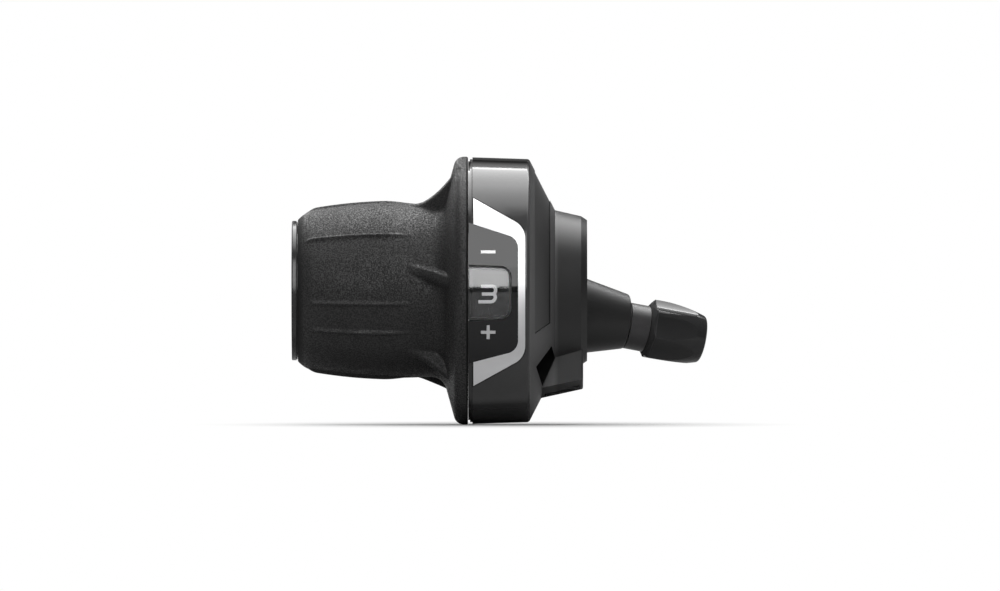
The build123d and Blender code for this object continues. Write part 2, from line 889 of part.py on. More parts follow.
# Cable winder: spool, detent ring, stop lug and seat for the wire's end
with BuildPart() as cable_winder:
    with BuildSketch(Plane.XZ):
        with BuildLine():
            Polyline(
                (plate_x1, core_r),
                (plate_x1, core_r + hub_h),
                (detent_x1 - detent_w, core_r + hub_h),
                (detent_x1 - detent_w, detent_r),
                (detent_x1, detent_r),
                (detent_x1, spool_r),
                (winder_x1, spool_r),
                (winder_x1, core_r),
                close=True,
            )
        make_face()
    revolve(axis=Axis.X)
    with BuildSketch(axial_plane(lug_angle - lug_arc / 2)):
        with Locations((winder_x1, pitch_r)):
            Rectangle(spool_w, lug_r - pitch_r, align=(Align.MAX, Align.MIN))
    revolve(axis=Axis.X, revolution_arc=lug_arc)
    with BuildSketch(Plane.XZ):
        with Locations((groove_x, pitch_r)):
            Circle(wire_groove)
            Rectangle(2 * wire_groove, 2 * lug_h, align=(Align.CENTER, Align.MIN))
    revolve(axis=Axis.X, mode=Mode.SUBTRACT)
    for notch in range(detent_count):
        with BuildSketch(cross_plane(detent_x1, leaf_angle + notch * detent_step)):
            with Locations((0, detent_r - notch_depth + notch_r)):
                Circle(notch_r)
        extrude(amount=detent_w, mode=Mode.SUBTRACT)
    with BuildSketch(cross_plane(winder_x1, nipple_angle)):
        with Locations((0, pitch_r + nipple_out)):
            Circle(nipple_r)
    extrude(amount=nipple_depth, mode=Mode.SUBTRACT)
    for key in range(key_count):
        with BuildSketch(radial_plane(plate_x1, key * 360 / key_count, core_r - core_wall / 2)):
            Rectangle(winder_x1 - plate_x1, key_w, align=(Align.MIN, Align.CENTER))
        extrude(amount=core_wall / 2 + key_h, mode=Mode.SUBTRACT)

# Number segment that shows behind the window
with BuildPart() as number_segment:
    with BuildSketch(axial_plane(segment_start_angle)):
        with BuildLine():
            Polyline(
                (shoulder_x1, core_r + hub_h / 2),
                (shoulder_x1, segment_r),
                (shoulder_x1 + segment_len, segment_r),
                (shoulder_x1 + segment_len, segment_r - segment_t),
                (plate_x1, segment_r - segment_t),
                (plate_x1, core_r + hub_h / 2),
                close=True,
            )
        make_face()
    revolve(axis=Axis.X, revolution_arc=segment_sweep_angle)
    with BuildSketch(Plane.YZ.offset(shoulder_x1)):
        Circle(core_r + hub_h)
        Circle(core_r, mode=Mode.SUBTRACT)
    extrude(amount=plate_t)
    for key in range(key_count):
        with BuildSketch(radial_plane(shoulder_x1, key * 360 / key_count, core_r - core_wall / 2)):
            Rectangle(plate_t, key_w, align=(Align.MIN, Align.CENTER))
        extrude(amount=core_wall / 2 + key_h, mode=Mode.SUBTRACT)

# Click collar of the adjuster: head, stem with a key, and a pocket for the spring
with BuildPart() as adjuster_collar:
    with BuildSketch(adjuster_cut):
        with BuildLine():
            Polyline(
                (-stem_len, stem_r - stem_wall),
                (-stem_len, stem_r),
                (collar_gap, stem_r),
                (collar_gap, collar_r),
                (collar_x1, collar_r),
                (collar_x1, screw_r + run_gap),
                (collar_x1 - collar_floor, screw_r + run_gap),
                (collar_x1 - collar_floor, stem_r - stem_wall),
                close=True,
            )
        make_face()
    revolve(axis=adjuster_axis)
    with BuildSketch(adjuster.offset(-stem_len)):
        with Locations((stem_r - stem_wall / 2, 0)):
            Rectangle(
                collar_key_h + stem_wall / 2,
                collar_key_w,
                align=(Align.MIN, Align.CENTER),
            )
    extrude(amount=collar_key_len)

# Adjuster barrel: hollow screw with the socket for the casing
with BuildPart() as adjuster_barrel:
    with BuildSketch(adjuster_cut):
        with BuildLine():
            Polyline(
                (-screw_len, bore_r),
                (-screw_len, screw_r),
                (knob_x0 + barrel_step, screw_r),
                (knob_x0 + barrel_step, barrel_head_r),
                (knob_x1 - barrel_inset, barrel_head_r),
                (knob_x1 - barrel_inset, socket_r),
                (knob_x1 - barrel_inset - socket_len, socket_r),
                (knob_x1 - barrel_inset - socket_len, bore_r),
                close=True,
            )
        make_face()
    revolve(axis=adjuster_axis)

# Adjuster knob with scalloped sides
with BuildPart() as adjuster_knob:
    with BuildSketch(adjuster_cut) as knob_profile:
        with BuildLine():
            Polyline(
                (knob_x1, knob_front_r),
                (knob_x1, barrel_head_r),
                (knob_x0 + barrel_step, barrel_head_r),
                (knob_x0 + barrel_step, screw_r),
                (knob_x0, screw_r),
                (knob_x0, knob_back_r),
                (knob_x0 + knob_back, knob_max_r),
            )
            ThreePointArc(
                (knob_x0 + knob_back, knob_max_r),
                (knob_x0 + (knob_back + knob_len) / 2, knob_mid_r),
                (knob_x1, knob_front_r),
            )
        make_face()
        fillet(knob_profile.vertices().sort_by_distance((knob_x1, knob_front_r))[0], knob_rim)
    revolve(axis=adjuster_axis)
    with BuildSketch(adjuster.offset(knob_x0)):
        with PolarLocations(knob_max_r - scallop_depth + scallop_r, knob_scallops, 90 - scallop_turn):
            Circle(scallop_r)
    extrude(amount=knob_len, mode=Mode.SUBTRACT)

# One file for each piece
pieces = {
    "main_body": main_body,
    "end_ring": end_ring,
    "display_panel": display_panel,
    "display_window": display_window,
    "display_trim": display_trim,
    "clamp_bolt": clamp_bolt,
    "clamp_nut": clamp_nut,
    "detent_spring": detent_spring,
    "cable_guide": cable_guide,
    "port_plug": port_plug,
    "thrust_washer": thrust_washer,
    "thread_insert": thread_insert,
    "adjuster_spring": adjuster_spring,
    "rubber_grip": rubber_grip,
    "grip_core": grip_core,
    "cable_winder": cable_winder,
    "number_segment": number_segment,
    "adjuster_collar": adjuster_collar,
    "adjuster_barrel": adjuster_barrel,
    "adjuster_knob": adjuster_knob,
}
os.makedirs("parts", exist_ok=True)
for name, piece in pieces.items():
    piece.part.label = name
    export_step(piece.part, f"parts/{name}.step")
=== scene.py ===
import bpy
import json
import math
import numpy as np
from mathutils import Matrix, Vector

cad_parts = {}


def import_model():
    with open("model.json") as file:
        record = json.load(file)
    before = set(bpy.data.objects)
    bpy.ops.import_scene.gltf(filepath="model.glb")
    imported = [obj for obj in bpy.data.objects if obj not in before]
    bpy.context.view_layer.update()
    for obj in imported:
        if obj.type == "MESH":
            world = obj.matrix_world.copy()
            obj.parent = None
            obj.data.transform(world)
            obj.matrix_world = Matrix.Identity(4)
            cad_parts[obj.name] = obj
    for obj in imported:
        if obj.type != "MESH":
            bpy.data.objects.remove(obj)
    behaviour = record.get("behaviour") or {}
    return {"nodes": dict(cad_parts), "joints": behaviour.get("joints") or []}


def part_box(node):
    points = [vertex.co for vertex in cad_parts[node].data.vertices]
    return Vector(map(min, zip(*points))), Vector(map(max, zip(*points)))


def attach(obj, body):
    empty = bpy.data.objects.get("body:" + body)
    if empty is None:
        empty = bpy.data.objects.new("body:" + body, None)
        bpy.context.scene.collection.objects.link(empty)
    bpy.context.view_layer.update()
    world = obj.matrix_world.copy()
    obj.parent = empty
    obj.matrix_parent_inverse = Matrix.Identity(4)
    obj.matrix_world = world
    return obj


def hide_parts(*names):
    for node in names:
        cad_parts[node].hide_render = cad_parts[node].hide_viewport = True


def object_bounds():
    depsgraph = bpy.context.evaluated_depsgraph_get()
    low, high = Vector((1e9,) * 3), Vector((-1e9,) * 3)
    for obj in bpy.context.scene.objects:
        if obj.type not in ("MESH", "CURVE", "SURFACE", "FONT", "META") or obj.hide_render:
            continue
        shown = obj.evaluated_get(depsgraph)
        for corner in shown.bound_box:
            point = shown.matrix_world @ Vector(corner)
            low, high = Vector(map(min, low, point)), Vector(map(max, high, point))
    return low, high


# Twist grip shifter: materials, finer sleeve, signs, lights and the photograph's camera

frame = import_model()
cad_low, cad_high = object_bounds()

# Lengths of the object are in millimetres, and MM takes them to metres
# The bar runs along X, the display faces -Y and Z is up
# Angles round the bar go from +Y through +Z, so 180 is the front and 90 is the top
MM = 0.001

# Photograph: its size in pixels, its scale and where the bar's axis and the clamp's middle are in it
PHOTO_W = 1000
PHOTO_H = 591
PX_PER_MM = 5.0
CLAMP_PX = 561.0
AXIS_PX = 290.6
CAMERA_BACK = 4500.0
SENSOR_W = 36.0

# Rubber grip: its section
CORE_R = 13.65
GRIP_END_R = 14.15
GRIP_NOSE = 3.4
GRIP_NOSE_R = 16.05
GRIP_NOSE_LEAN = 1.1
GRIP_NOSE_SLOPE = 0.17
GRIP_MID_X = 14.4
GRIP_MID_R = 17.3
GRIP_NECK_X = 25.9
GRIP_NECK_STEP = 0.2
GRIP_R = 17.25
FLANGE_FOOT = 5.0
FLANGE_TOP = 2.35
FLANGE_BLEND = 3.2
FLANGE_ROUND = 2.0
FLANGE_EDGE = 0.35
FLANGE_LIP = 2.4
POCKET_DEPTH = 1.7
NOSE_REACH = 0.2

# Rubber grip: fins, which slant from the barrel up to the flange, one of them higher
FIN_COUNT = 6
FIN_FIRST = 172.0
FIN_SLANT = 17.0
FIN_REACH = 6.6
FIN_TOP = 2.6
FIN_PAST = 1.2
FIN_RISE = 5.54
FIN_DIP = 0.45
FIN_HIGH = 109.0
FIN_HIGH_RISE = 8.36
FIN_HIGH_DIP = 1.7
FIN_BEND = 0.9
FIN_CREST = 0.35
FIN_STEEP = 1.4
FIN_FADE = 1.5
FIN_BLEND = 1.2
FIN_TRACE = 0.002

# Rubber grip: ribs along the barrel
RIB_ANGLES = (141.0, 189.0, 209.0)
RIB_REPEAT = 3
RIB_START = 0.9
RIB_END = 23.8
RIB_H = 0.55
RIB_HALF = 0.66
RIB_RISE = 0.12
RIB_FALL = 0.3

# Rubber grip: points in its mesh
NOSE_POINTS = 19
BARREL_POINTS = 66
FLANGE_ARC_STEPS = 14
FACE_POINTS = 14
GRIP_COLUMNS = 540

# Drum's wall, as in the solid, and the lip on its open edge
DRUM_X0 = -18.2
DRUM_R = 26.7
DRUM_DRAFT = 1.8
LIP_R = 25.9
LIP_WALL = 1.2
LIP_GAP = 0.06
LIP_COLUMNS = 240

# Signs on the panel
MARK_T = 0.12
MARK_LIFT = 0.05
MARK_X = -14.55
MARK_W = 2.9
MARK_STROKE = 0.62
MINUS_Z = 7.7
PLUS_Z = -8.3
STROKE_STEP = 0.5

# Numbers on the segment, with the flag and foot of the 1 as shares of the half width
NUMBER_X = -14.75
NUMBER_W = 4.0
NUMBER_H = 3.7
NUMBER_STROKE = 0.66
NUMBER_ROUND = 0.72
NUMBER_LEAN = 0.5
NUMBER_FIRST = 181.6
NUMBER_STEP = 32.0
NUMBER_ARC_STEPS = 8
ONE_FLAG = 0.35
ONE_FOOT = 0.9
ONE_ROUND = 0.3
ONE_ARC_STEPS = 6
THREE_TIP = 0.15
THREE_TONGUE = 0.6
THREE_SHIFT = 0.1 * NUMBER_LEAN
THREE_WAIST_ROUND = 0.8 * NUMBER_ROUND
THREE_FOOT_ROUND = 1.3 * NUMBER_ROUND

# Range that most values of a noise lie in, and how far a mottle and roughness stray
NOISE_RANGE = (0.3, 0.7)
MOTTLE_SPREAD = (0.85, 1.15)
ROUGH_SPREAD = 0.15
METAL_GRAIN_DEPTH = 0.003

# Share of open sky at which a recess is fully closed and fully open
RECESS_SKY = (0.45, 0.8)
RECESS_SAMPLES = 8

# Rubber: a grain that is lighter and smoother on its speckles, and painted shade that darkens the sleeve
# towards black at its two ends
RUBBER_COLOUR = (0.021, 0.0208, 0.021)
RUBBER_BETWEEN = 0.48
RUBBER_ROUGH = (0.9, 0.29)
RUBBER_GRAIN = 0.26
RUBBER_GRAIN_ROUGH = 0.6
RUBBER_GRAIN_DEPTH = 0.035
RUBBER_PATCH = 7.0
RUBBER_PATCH_SPREAD = (0.96, 1.04)
RUBBER_SPECKLE = (0.42, 0.66)
NOSE_PAINTED_SHADE_X = (-0.2, 1.2)
NOSE_PAINTED_SHADE = 0.15
EDGE_PAINTED_SHADE_X = (-0.45, -0.2)

# Body: tones are shares of its lightest colour, with the X or Z where each begins, and turns in radians;
# the one over Z is painted shade on the drum's top
BODY_COLOUR = (0.066, 0.0656, 0.0664)
BODY_BLACK = (0.001, 0.001, 0.001)
BODY_MOTTLE = 5.0
BODY_SKIN = 0.25
BODY_SKIN_DEPTH = 0.004
# Reach of the recess share, which dulls the body and paints shade into its recesses
BODY_RECESS = 5.0
SATIN_X = (-7.0, -6.0)
DRUM_ROUGH = 0.07
SATIN_ROUGH = 0.42
CONE_X = (-6.6, -6.2)
DRUM_TONE = 0.56
CONE_TONE = 0.87
CLAMP_X = (-1.5, -0.5)
CLAMP_TONE = 0.17
# Painted shade on the drum's top: the Z over which it darkens, and its darkest share
CROWN_PAINTED_SHADE_Z = (21.0, 25.5)
CROWN_PAINTED_SHADE = 0.1
PAD_X = (-5.2, -2.3)
PAD_EDGE = 0.1
PAD_TURN = (math.radians(-21.0), math.radians(120.0))
PAD_TURN_EDGE = 0.01
PAD_TONE = 0.45

# Knob: distance along its axis over which its back edge goes from dull to polished
KNOB_EDGE = (4.95, 5.25)

# End ring: its polished band, from the ring's outer end; outside the band the colour is darkened as painted
# shade
RING_COLOUR = (0.014, 0.014, 0.0145)
RING_PAINTED_SHADE = (0.002, 0.002, 0.002)
RING_ROUGH = (0.7, 0.2)
RING_BAND = (0.25, 0.85)
RING_BAND_EDGE = 0.1
RING_MOTTLE = 3.0
RING_SKIN = 0.3
RING_SKIN_DEPTH = 0.002

# Display: how far its front faces are flatter than the solids, and which normals belong to them
FACE_FLAT = 0.35
FACE_LOOK = (0.825, 0.845)
FACE_RECESS = 1.0
WINDOW_ROUGH = (0.02, 0.05)
WINDOW_WAVE = 3.0

# Lights, in metres, with levels at angles from the camera's side over the top
CENTRE_X = -12.2 * MM
FRONT_LEVELS = [(2.4, 4.0), (13.4, 4.0), (13.5, 4.6), (40.0, 4.5), (52.0, 3.4)]
TOP_RISE = [(69.0, 0.4), (80.0, 3.3), (102.0, 5.5), (130.5, 6.0)]
TOP_LINE = [(130.6, 10.0), (133.5, 10.0)]
TOP_FALL = [(133.6, 1.2), (138.0, 1.0), (143.0, 0.5), (149.0, 0.08), (155.0, 0.0)]
BACK_LEVELS = [(130.0, 3.6), (165.0, 3.6)]
FRONT_DISTANCE = 1.3
TOP_DISTANCE = 1.0
BACK_DISTANCE = 1.0
FRONT_SIDES = (-11, 11)
TOP_SIDES = (-26, 30)
BACK_SIDES = (-36, -6)
BOX_STEP = 4.0
FILL_ELEVATION = 50
FILL_DISTANCE = 1.5
FILL_SIZE = (1.6, 1.0)
FILL_LEVEL = 1.8

# Room: its own level, and the directions in which its white backdrop begins
ROOM_LEVEL = 0.12
BACKDROP_Y = (0.1, 0.6)
BACKDROP_Z = (0.15, 0.05)

# Floor, in metres: an oval in which its shadow shows, and a band of it below the object that glows white
# only in the polish, a painted reflection
FLOOR_REACH = 6.0
FLOOR_GREY = 0.25
FLOOR_ROUGH = 0.9
SHADOW_NEAR = 0.02
SHADOW_FAR = 0.14
SHADOW_SHARE = 0.12
SHADOW_WIDTH = 2.2
MIRROR_BACK = (0.05, 0.2)
PAINTED_REFLECTION_FROM = (-0.036, -0.028)
PAINTED_REFLECTION_TO = (-0.011, -0.014)
PAINTED_REFLECTION_SHARE = 0.35


def mix(a, b, share):
    return a + (b - a) * share


def smooth_max(a, b, blend):
    """The higher of two heights, with the crease between them filled over the blend width."""
    near = np.clip(0.5 + 0.5 * (b - a) / blend, 0, 1)
    return mix(a, b, near) + blend * near * (1 - near)


def rounded(points, radii, arc_steps):
    """Points of a line through the corners given, each rounded to its radius."""
    out = []
    for i, (corner, radius) in enumerate(zip(points, radii)):
        here = Vector(corner)
        if radius == 0:
            out.append(here)
            continue
        to_last = (Vector(points[i - 1]) - here).normalized()
        to_next = (Vector(points[i + 1]) - here).normalized()
        half = to_last.angle(to_next) / 2
        middle = here + (to_last + to_next).normalized() * (radius / math.sin(half))
        first = here + to_last * (radius / math.tan(half)) - middle
        sweep = math.pi - 2 * half
        turn = math.copysign(sweep, first.y * to_last.x - first.x * to_last.y)
        for step in range(arc_steps + 1):
            cos, sin = math.cos(turn * step / arc_steps), math.sin(turn * step / arc_steps)
            out.append(middle + Vector((first.x * cos - first.y * sin, first.x * sin + first.y * cos)))
    return [(p.x, p.y) for p in out]


def add_object(name, data):
    piece = bpy.data.objects.new(name, data)
    bpy.context.scene.collection.objects.link(piece)
    return piece


def new_mesh(name, verts, faces, sharp_angle=35.0):
    """A smooth-shaded object from points in millimetres."""
    mesh = bpy.data.meshes.new(name)
    mesh.from_pydata([tuple(v) for v in np.asarray(verts) * MM], [], faces)
    mesh.validate()
    mesh.shade_smooth()
    mesh.set_sharp_from_angle(angle=math.radians(sharp_angle))
    return add_object(name, mesh)


def ring_faces(rows, columns):
    """Quads between rows of points round an axis, with the last row joined to the first."""
    faces = []
    for i in range(rows):
        a = i * columns
        b = (i + 1) % rows * columns
        for j in range(columns):
            k = (j + 1) % columns
            faces.append((a + j, b + j, b + k, a + k))
    return faces


def grip_nose(x0):
    """The rounded nose, a curve from the grip's end to its barrel."""
    start, end = Vector((x0, GRIP_END_R)), Vector((x0 + GRIP_NOSE, GRIP_NOSE_R))
    pull = GRIP_NOSE / 3
    after_start = start + pull * Vector((1, GRIP_NOSE_LEAN))
    before_end = end - pull * Vector((1, GRIP_NOSE_SLOPE))
    nose = []
    for t in np.linspace(0, 1, NOSE_POINTS)[:-1]:
        u = 1 - t
        q = start * u**3 + after_start * 3 * t * u**2 + before_end * 3 * t * t * u + end * t**3
        nose.append((q.x, q.y))
    return nose


def grip_flange(x0, x1, flange_r):
    """The flange, with more points on the flat of its face, where the fins run into it."""
    corners = [
        (x0 + GRIP_NECK_X + GRIP_NECK_STEP, GRIP_R),
        (x1 - FLANGE_FOOT, GRIP_R),
        (x1 - FLANGE_TOP, flange_r),
        (x1, flange_r),
        (x1, flange_r - FLANGE_LIP),
    ]
    flange = rounded(corners, [0, FLANGE_BLEND, FLANGE_ROUND, FLANGE_EDGE, 0], FLANGE_ARC_STEPS)
    half_up = mix(GRIP_R, flange_r, 0.5)
    last = max(i for i, q in enumerate(flange) if q[1] < half_up)
    a, b = flange[last], flange[last + 1]
    shares = np.linspace(0, 1, FACE_POINTS)[1:-1]
    between = [(mix(a[0], b[0], t), mix(a[1], b[1], t)) for t in shares]
    return flange[: last + 1] + between + flange[last + 1 :]


def grip_outline(x0, x1, flange_r):
    """Section of the rubber: points (x, r) and whether each may carry fins and ribs."""
    knots_x = np.array([GRIP_NOSE, GRIP_MID_X, GRIP_NECK_X])
    curve = np.polyfit(knots_x, [GRIP_NOSE_R, GRIP_MID_R, GRIP_R], 2)
    barrel_x = np.linspace(GRIP_NOSE, GRIP_NECK_X, BARREL_POINTS)
    barrel = [(x0 + x, np.polyval(curve, x)) for x in barrel_x]
    pocket_x = x1 - POCKET_DEPTH
    inner = [(pocket_x, flange_r - FLANGE_LIP), (pocket_x, CORE_R), (x0, CORE_R)]
    points = grip_nose(x0) + barrel + grip_flange(x0, x1, flange_r) + inner
    plain = len(inner) + 1
    outside = [True] * (len(points) - plain) + [False] * plain
    return np.array(points), np.array(outside)


def fin_heights(x, r, angle, x1):
    """Radius of the fins over each point; away from the fins it is far below the surface."""
    along = x - (x1 - FLANGE_FOOT)
    share = np.clip((along + FIN_REACH) / (FIN_REACH + FIN_TOP), 0, FIN_PAST)
    pitch = 360 / FIN_COUNT
    high = np.abs((angle - FIN_HIGH + 180) % 360 - 180) < pitch / 2
    lean = along * math.tan(math.radians(FIN_SLANT)) + np.where(high, 0, FIN_BEND) * share**2
    around = angle - np.where(high, FIN_HIGH, FIN_FIRST) - np.degrees(lean / r)
    off = (around + pitch / 2) % pitch - pitch / 2
    rise = np.where(high, FIN_HIGH_RISE, FIN_RISE)
    dip = np.where(high, FIN_HIGH_DIP, FIN_DIP)
    crest = GRIP_R + rise * share - dip * 4 * share * (1 - share)
    side = np.clip(np.abs(np.radians(off)) * r - FIN_CREST, 0, None)
    sunk = np.clip(-FIN_REACH - along, 0, None)
    return crest - FIN_STEEP * side**2 - FIN_FADE * sunk


def rib_heights(x, r, angle, x0):
    """Height of the ribs over the barrel."""
    along = (x - x0 - RIB_START) / (RIB_END - RIB_START)
    ends = np.clip(np.minimum(along / RIB_RISE, (1 - along) / RIB_FALL), 0, 1)
    height = np.zeros_like(x)
    pitch = 360 / RIB_REPEAT
    for rib in RIB_ANGLES:
        off = (angle - rib + pitch / 2) % pitch - pitch / 2
        side = np.clip(np.abs(np.radians(off)) * r / RIB_HALF, 0, 1)
        height += RIB_H * ends * ends * (3 - 2 * ends) * (1 - side**2) ** 2
    return height


def rubber_grip():
    """The rubber sleeve, a finer mesh of its solid."""
    low, high = (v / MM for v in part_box("rubber_grip"))
    reach = min(-low.y, high.y, -low.z, high.z)
    points, outside = grip_outline(low.x - NOSE_REACH, high.x, reach)
    angles = np.arange(GRIP_COLUMNS) * 360 / GRIP_COLUMNS
    x, angle = np.meshgrid(points[:, 0], angles, indexing="ij")
    r = np.repeat(points[:, 1][:, None], GRIP_COLUMNS, 1)
    shaped = smooth_max(r, fin_heights(x, r, angle, high.x), FIN_BLEND)
    shaped = np.where(shaped - r > FIN_TRACE, shaped, r) + rib_heights(x, r, angle, low.x)
    r = np.where(outside[:, None], np.minimum(shaped, reach), r)
    turn = np.radians(angle)
    verts = np.stack([x, r * np.cos(turn), r * np.sin(turn)], -1).reshape(-1, 3)
    piece = new_mesh("rubber_sleeve", verts, ring_faces(len(points), GRIP_COLUMNS))
    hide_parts("rubber_grip")
    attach(piece, "twist_grip")
    return piece


def drum_lip(material):
    """Low lip on the drum's open edge, which nearly closes the gap to the grip."""
    x0, x1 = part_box("rubber_grip")[1].x / MM + LIP_GAP, DRUM_X0
    section = [(x0, LIP_R), (x1, LIP_R), (x1, LIP_R - LIP_WALL), (x0, LIP_R - LIP_WALL)]
    turn = np.arange(LIP_COLUMNS) * 2 * math.pi / LIP_COLUMNS
    verts = [(x, r * math.cos(a), r * math.sin(a)) for x, r in section for a in turn]
    piece = new_mesh("drum_lip", verts, ring_faces(len(section), LIP_COLUMNS))
    piece.data.materials.append(material)
    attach(piece, "housing")


def densify(path):
    """The path with points no further apart than a step, so that it lies on a round surface."""
    out = [path[0]]
    for a, b in zip(path, path[1:]):
        steps = max(1, math.ceil(math.dist(a, b) / STROKE_STEP))
        out += [(mix(a[0], b[0], i / steps), mix(a[1], b[1], i / steps)) for i in range(1, steps + 1)]
    return out


def stroke(path, width, radius_at, x, angle):
    """Points and faces of a thin stroke on a surface round the bar, about the x and the angle given."""
    n = len(path)
    verts = []
    for depth in (0, MARK_T):
        for sign in (1, -1):
            for i, here in enumerate(path):
                run = Vector(path[min(i + 1, n - 1)]) - Vector(path[max(i - 1, 0)])
                q = Vector(here) + Vector((-run.y, run.x)).normalized() * sign * width / 2
                r = radius_at(x + q.x)
                turn = math.radians(angle) - q.y / r
                verts.append((x + q.x, (r - depth) * math.cos(turn), (r - depth) * math.sin(turn)))
    faces = [(0, n, 3 * n, 2 * n), (3 * n - 1, 4 * n - 1, 2 * n - 1, n - 1)]
    for i in range(n - 1):
        for a, b in ((0, n), (3 * n, 2 * n), (2 * n, 0), (n, 3 * n)):
            faces.append((a + i, a + i + 1, b + i + 1, b + i))
    return verts, faces


def strokes_piece(name, paths, width, radius_at, x, angle):
    """One piece from the strokes along the paths."""
    verts, faces = [], []
    for path in paths:
        more, quads = stroke(densify(path), width, radius_at, x, angle)
        faces += [tuple(i + len(verts) for i in quad) for quad in quads]
        verts += more
    return new_mesh(name, verts, faces)


def number_paths(number):
    """Strokes of the numbers 1 to 3 in flat bars with rounded corners, about their middle."""
    w, h = NUMBER_W / 2 - NUMBER_STROKE / 2, NUMBER_H / 2 - NUMBER_STROKE / 2
    lean, corner = NUMBER_LEAN / 2, NUMBER_ROUND
    if number == 1:
        flag = [(-ONE_FLAG * w, h), (lean, h), (-lean, -h)]
        foot = [(-ONE_FOOT * w, -h), (ONE_FOOT * w, -h)]
        return [rounded(flag, [0, ONE_ROUND, 0], ONE_ARC_STEPS), foot]
    if number == 2:
        whole = [(lean - w, h), (w, h), (w, 0), (-w, 0), (-w, -h), (w - lean, -h)]
        return [rounded(whole, [0, corner, corner, corner, corner, 0], NUMBER_ARC_STEPS)]
    upper = [(lean - w + THREE_TIP, h), (w, h), (w, 0), (THREE_TONGUE - w, 0)]
    waist, foot = (w - THREE_SHIFT, 0), (w - 2 * THREE_SHIFT, -h)
    lower = [(w - corner, 0), waist, foot, (THREE_TIP - w - lean, -h)]
    return [
        rounded(upper, [0, corner, corner, 0], NUMBER_ARC_STEPS),
        rounded(lower, [0, THREE_WAIST_ROUND, THREE_FOOT_ROUND, 0], NUMBER_ARC_STEPS),
    ]


def numbers(material):
    """The position numbers on the drum segment, of which the window shows one."""
    radius = -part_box("number_segment")[0].y / MM + MARK_LIFT
    for n, number in enumerate((3, 2, 1)):
        angle = NUMBER_FIRST + n * NUMBER_STEP
        paths = number_paths(number)
        piece = strokes_piece(f"number_{number}", paths, NUMBER_STROKE, lambda x: radius, NUMBER_X, angle)
        piece.data.materials.append(material)
        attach(piece, "twist_grip")


def panel_radius(x):
    return DRUM_R - (x - DRUM_X0) * math.tan(math.radians(DRUM_DRAFT)) + MARK_LIFT


def marks(minus_material, plus_material):
    """The minus and plus signs on the panel."""
    half, gap = MARK_W / 2, MARK_STROKE / 2
    bar = [(-half, 0), (half, 0)]
    signs = {
        "minus_sign": (minus_material, MINUS_Z, [bar]),
        "plus_sign": (plus_material, PLUS_Z, [bar, [(0, half), (0, gap)], [(0, -gap), (0, -half)]]),
    }
    for name, (material, z, paths) in signs.items():
        angle = 180 - math.degrees(math.asin(z / panel_radius(MARK_X)))
        piece = strokes_piece(name, paths, MARK_STROKE, panel_radius, MARK_X, angle)
        piece.data.materials.append(material)
        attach(piece, "housing")


class Nodes:
    """Short ways to add nodes to a node tree."""

    def __init__(self, tree):
        self.tree = tree

    def node(self, kind, **values):
        """A new node with its settings and the values of its inputs."""
        made = self.tree.nodes.new(kind)
        for key, value in values.items():
            if key in made.inputs:
                made.inputs[key].default_value = value
            else:
                setattr(made, key, value)
        return made

    def link(self, a, b):
        self.tree.links.new(a, b)

    def feed(self, made, values):
        """Gives a node's inputs, in their order, a link or a value each."""
        for socket, value in zip(made.inputs, values):
            if isinstance(value, bpy.types.NodeSocket):
                self.link(value, socket)
            else:
                socket.default_value = value

    def math(self, operation, *values, clamp=False):
        made = self.node("ShaderNodeMath", operation=operation, use_clamp=clamp)
        self.feed(made, values)
        return made.outputs[0]

    def factor(self, operation, *values):
        """The result of a sum, kept between 0 and 1."""
        return self.math(operation, *values, clamp=True)

    def product(self, *values):
        total = values[0]
        for value in values[1:]:
            total = self.math("MULTIPLY", total, value)
        return total

    def vector(self, operation, *values):
        made = self.node("ShaderNodeVectorMath", operation=operation)
        self.feed(made, values)
        return made.outputs

    def split(self, vector):
        made = self.node("ShaderNodeSeparateXYZ")
        self.feed(made, [vector])
        return made.outputs

    def ramp(self, value, low, high, start=0.0, end=1.0, **settings):
        """Goes from low at the start to high at the end."""
        made = self.node("ShaderNodeMapRange", **settings)
        self.feed(made, (value, start, end, low, high))
        return made.outputs["Result"]

    def step(self, value, start, end):
        """Rises smoothly from 0 at the start to 1 at the end."""
        return self.ramp(value, 0.0, 1.0, start, end, interpolation_type="SMOOTHSTEP")

    def band(self, value, start, end, edge):
        """1 from start to end and 0 outside, over a short edge at both."""
        rise = self.ramp(value, 0, 1, start - edge, start)
        fall = self.ramp(value, 1, 0, end, end + edge)
        return self.product(rise, fall)

    def seen(self):
        """Whether a ray comes straight from the camera, and whether it comes by gloss or glass."""
        rays = self.node("ShaderNodeLightPath").outputs
        mirrored = self.factor("ADD", rays["Is Glossy Ray"], rays["Is Transmission Ray"])
        return rays["Is Camera Ray"], mirrored


